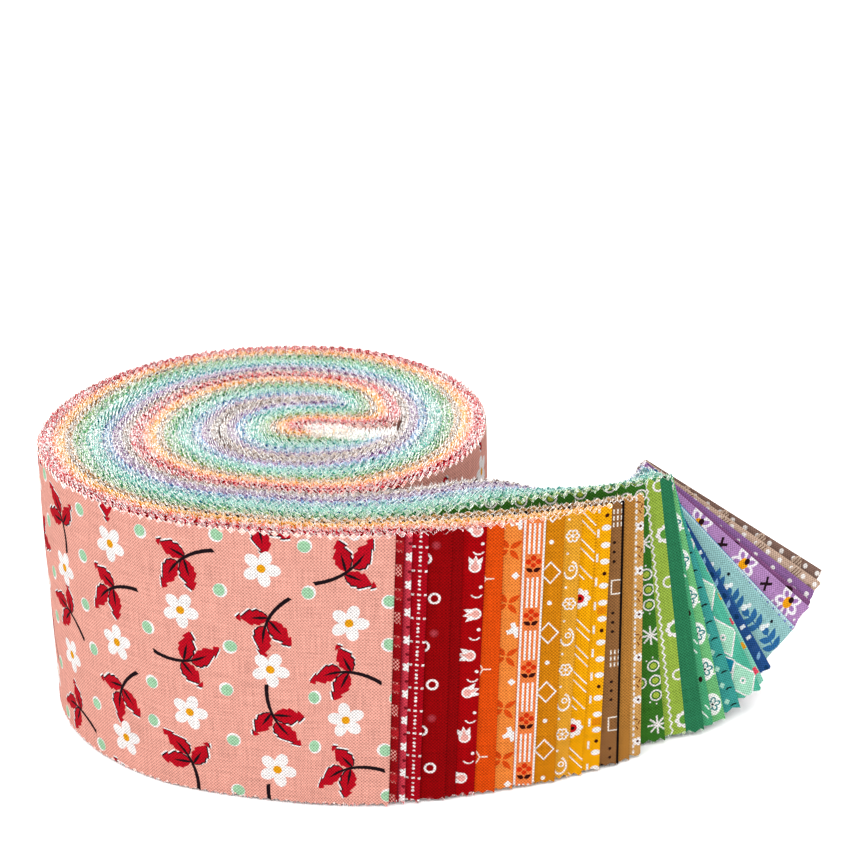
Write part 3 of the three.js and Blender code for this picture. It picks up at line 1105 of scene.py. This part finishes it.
def wrong_side(name, ground):
    """The unprinted side of the cloth, with the print showing through."""
    face = Print(name, ground, 1.0)
    face.mix(0.45, UNPRINTED)
    face.mix(face.noise(2.0, 4.0) * 0.3, ground)
    return face.finish()


def cut_edge(name, ground):
    """The pinked rim: white thread ends with flecks of the print's dye."""
    face = Print(name, ground, 1.0)
    fleck = face.noise(0.5, 0.5, 1.0, 5.0)
    face.lay(fleck - 0.46, "#F8F5F2", 0.08)
    return face.finish()


def frayed_threads(name, codes):
    """Thread ends. The UV place holds one random number for each thread."""
    material, shader = new_material(name, 0.95, 0.1)
    tree = material.node_tree
    place = tree.nodes.new("ShaderNodeUVMap")
    place.uv_map = "cloth"
    ramp = tree.nodes.new("ShaderNodeValToRGB")
    ramp.color_ramp.interpolation = "CONSTANT"
    split = tree.nodes.new("ShaderNodeSeparateXYZ")
    tree.links.new(place.outputs[0], split.inputs[0])
    tree.links.new(split.outputs[0], ramp.inputs[0])
    elements = ramp.color_ramp.elements
    while len(elements) < len(codes):
        elements.new(1.0)
    for i, code in enumerate(codes):
        elements[i].position = i / len(codes)
        elements[i].color = linear(code)
    tree.links.new(ramp.outputs[0], shader.inputs["Base Color"])
    return material


# Colours of the thread ends along the edges, by slot, up to the deepest dye. White comes first.
FRAY_COLOURS = {
    "coral": ("#FFDCD2", "#F8A498", "#EC5468", "#DC3048"),
    "red": ("#FC9C98", "#F04456", "#E0203A", "#C8122A"),
    "orange": ("#FDDCBC", "#FBB06C", "#F58434", "#EC6420"),
    "yellow": ("#FEEBBE", "#FBCC6C", "#F5AE2C", "#EE9A18"),
    "brown": ("#F2E2CC", "#CFAE82", "#9C7848", "#5E4636"),
    "green": ("#DCEFDA", "#9CCF9C", "#5AAA6C", "#2A8044"),
    "teal": ("#DEF2EE", "#9CD8CC", "#50B2A6", "#248C86"),
    "blue": ("#B4D0EC", "#5A94CE", "#2A62A6", "#0E3070"),
    "purple": ("#F0EAF0", "#D0C2D0", "#A08CA2", "#5E4C62"),
    "taupe": ("#F6F2EE", "#D6CCC6", "#A89A94", "#6A5C5C"),
}
FRAYS_PER_MM = 1.35
FEW_FRAYS_PER_MM = 0.7
FRAY_LENGTH = (0.35, 1.15)
FRAY_WIDTH = 0.13
FRAY_SPLAY = 0.45
FRAY_LEAN = 0.3
FRAY_ROOT = 0.15  # share of a thread's length that lies inside the edge
FOOT_REACH = 9  # from the fold, where a strip's foot shows
PRINTED_POWER = 1.2  # how strongly the random shade tends to white, with dye and without
UNPRINTED_POWER = 5


def frays(edge, away, side, distance, rng, per_mm):
    """Thin four-sided slivers that stand on an edge and lean at random: points and shade."""
    length = distance_along(edge)
    count = int(length[-1] * per_mm)
    place = rng.uniform(0, length[-1], count)

    def sample(values):
        return np.stack([np.interp(place, length, values[:, i]) for i in range(3)], axis=-1)

    base = sample(edge)
    grow = sample(away) + rng.normal(0, FRAY_SPLAY, (count, 3))
    grow = grow + sample(side) * rng.normal(0, FRAY_LEAN, (count, 1))
    grow /= np.linalg.norm(grow, axis=1)[:, None]
    grow *= rng.uniform(*FRAY_LENGTH, (count, 1))
    across = np.cross(grow, rng.normal(0, 1, (count, 3)))
    across *= FRAY_WIDTH / 2 / np.linalg.norm(across, axis=1)[:, None]
    third = np.cross(grow, across)
    third *= FRAY_WIDTH / 2 / np.linalg.norm(third, axis=1)[:, None]
    base = base - grow * FRAY_ROOT
    corners = np.stack([
        base + across,
        base - across * 0.5 + third,
        base - across * 0.5 - third,
        base + grow * (1 + FRAY_ROOT),
    ], axis=1)
    corners[..., 2] = np.maximum(corners[..., 2], 0)
    printed = np.interp(place, length, distance) < STRIP_LENGTH / 2 - SELVAGE
    shade = rng.uniform(0, 1, count) ** np.where(printed, PRINTED_POWER, UNPRINTED_POWER)
    return corners, shade


def fray_mesh(name, batches):
    corners = np.vstack([b[0] for b in batches])
    shade = np.concatenate([b[1] for b in batches])
    count = len(corners)
    pattern = np.array([(0, 2, 1), (0, 1, 3), (1, 2, 3), (2, 0, 3)])
    faces = (np.arange(count)[:, None, None] * 4 + pattern).reshape(-1, 3)
    cloth = np.column_stack([np.repeat(shade, 4), np.zeros(count * 4)])
    return mesh_of(name, corners.reshape(-1, 3) * MM, faces, np.zeros(len(faces), int), cloth)


def add_object(name, data):
    piece = bpy.data.objects.new(name, data)
    bpy.context.scene.collection.objects.link(piece)
    return piece


def add_piece(name, mesh, slot):
    piece = add_object(name, mesh)
    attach(piece, "root")
    slot + "_cotton"
    return piece


def make_strip(index, shape):
    """One folded strip with its printed face, its wrong side and its rim."""
    name, slot, draw, ground = STRIPS[index][:4]
    mesh = ribbon_mesh(name, shape, index == 0)
    face = Print(name, ground)
    draw(face)
    mesh.materials.append(face.finish())
    mesh.materials.append(wrong_side(name + "_back", ground))
    mesh.materials.append(cut_edge(name + "_rim", ground))
    piece = add_piece(name, mesh, slot)
    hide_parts(*REPLACED.get(name, ()))


def strip_frays(shape, outermost, rng):
    """Thread ends along the top of a strip, and along its foot where that shows."""
    along = np.abs(shape.along)
    per_mm = FEW_FRAYS_PER_MM if outermost else FRAYS_PER_MM
    top = frays(shape.edge(), -shape.down, shape.out, along, rng, per_mm)
    low = along < (STRIP_LENGTH if outermost else FOOT_REACH)
    edge, down, out = shape.foot()[low], shape.down[low], shape.out[low]
    return [top, frays(edge, down, out, along[low], rng, FEW_FRAYS_PER_MM)]


def make_strips():
    rng = np.random.default_rng(SEED)
    batches = {slot: [] for slot in FRAY_COLOURS}
    for index, row in enumerate(STRIPS):
        shape = StripShape(index, rng)
        make_strip(index, shape)
        batches[row[1]] += strip_frays(shape, index == 0, rng)
    for slot, made in batches.items():
        mesh = fray_mesh("frayed_" + slot, made)
        mesh.materials.append(frayed_threads("frayed_" + slot, ("#FFFFFF", *FRAY_COLOURS[slot])))
        add_piece("frayed_" + slot, mesh, slot)


# Camera, floor and light. The camera was fitted to the photograph.
CAMERA_LENS = 91.7
CAMERA_SENSOR = 36.0
CAMERA_PLACE = (0.0, -460.7, 252.8)
CAMERA_YAW = 4.70
CAMERA_PITCH = 22.64
CAMERA_ROLL = -0.82
FLOOR_HALF = 4.0  # metres
FLOOR_WHITE = 0.97


def make_camera():
    yaw, pitch, roll = (math.radians(a) for a in (CAMERA_YAW, CAMERA_PITCH, CAMERA_ROLL))
    look = Vector((math.sin(yaw) * math.cos(pitch), math.cos(yaw) * math.cos(pitch), -math.sin(pitch)))
    level_right = Vector((math.cos(yaw), -math.sin(yaw), 0))
    level_up = level_right.cross(look)
    right = level_right * math.cos(roll) + level_up * math.sin(roll)
    up = level_up * math.cos(roll) - level_right * math.sin(roll)
    data = bpy.data.cameras.new("camera")
    data.lens = CAMERA_LENS
    data.sensor_width = CAMERA_SENSOR
    data.clip_start = 0.01
    camera = add_object("camera", data)
    turn = Matrix((right, up, -look)).transposed().to_4x4()
    camera.matrix_world = Matrix.Translation(Vector(CAMERA_PLACE) * MM) @ turn
    bpy.context.scene.camera = camera


def make_floor():
    mesh = bpy.data.meshes.new("floor")
    signs = ((-1, -1), (1, -1), (1, 1), (-1, 1))
    corners = [(x * FLOOR_HALF, y * FLOOR_HALF, 0) for x, y in signs]
    mesh.from_pydata(corners, [], [(0, 1, 2, 3)])
    floor = add_object("floor", mesh)
    material, shader = new_material("floor", 0.9, 0.0)
    shader.inputs["Base Color"].default_value = (FLOOR_WHITE, FLOOR_WHITE, FLOOR_WHITE, 1)
    mesh.materials.append(material)


# The light: strengths of the sky and the lamp, and the lamp's spread in degrees and direction
SKY = 1.0
LAMP = 3.0
LAMP_ANGLE = 80
LAMP_WAY = (0.2, 0.3, -1.0)


def make_light():
    world = bpy.data.worlds.new("studio")
    world.use_nodes = True
    background = world.node_tree.nodes["Background"]
    background.inputs["Color"].default_value = (1, 1, 1, 1)
    background.inputs["Strength"].default_value = SKY
    bpy.context.scene.world = world
    data = bpy.data.lights.new("key", "SUN")
    data.energy = LAMP
    data.angle = math.radians(LAMP_ANGLE)
    key = add_object("key", data)
    key.rotation_euler = Vector(LAMP_WAY).to_track_quat("-Z", "Y").to_euler()
    bpy.context.scene.view_settings.view_transform = "Standard"


make_camera()
make_floor()
make_light()
make_strips()
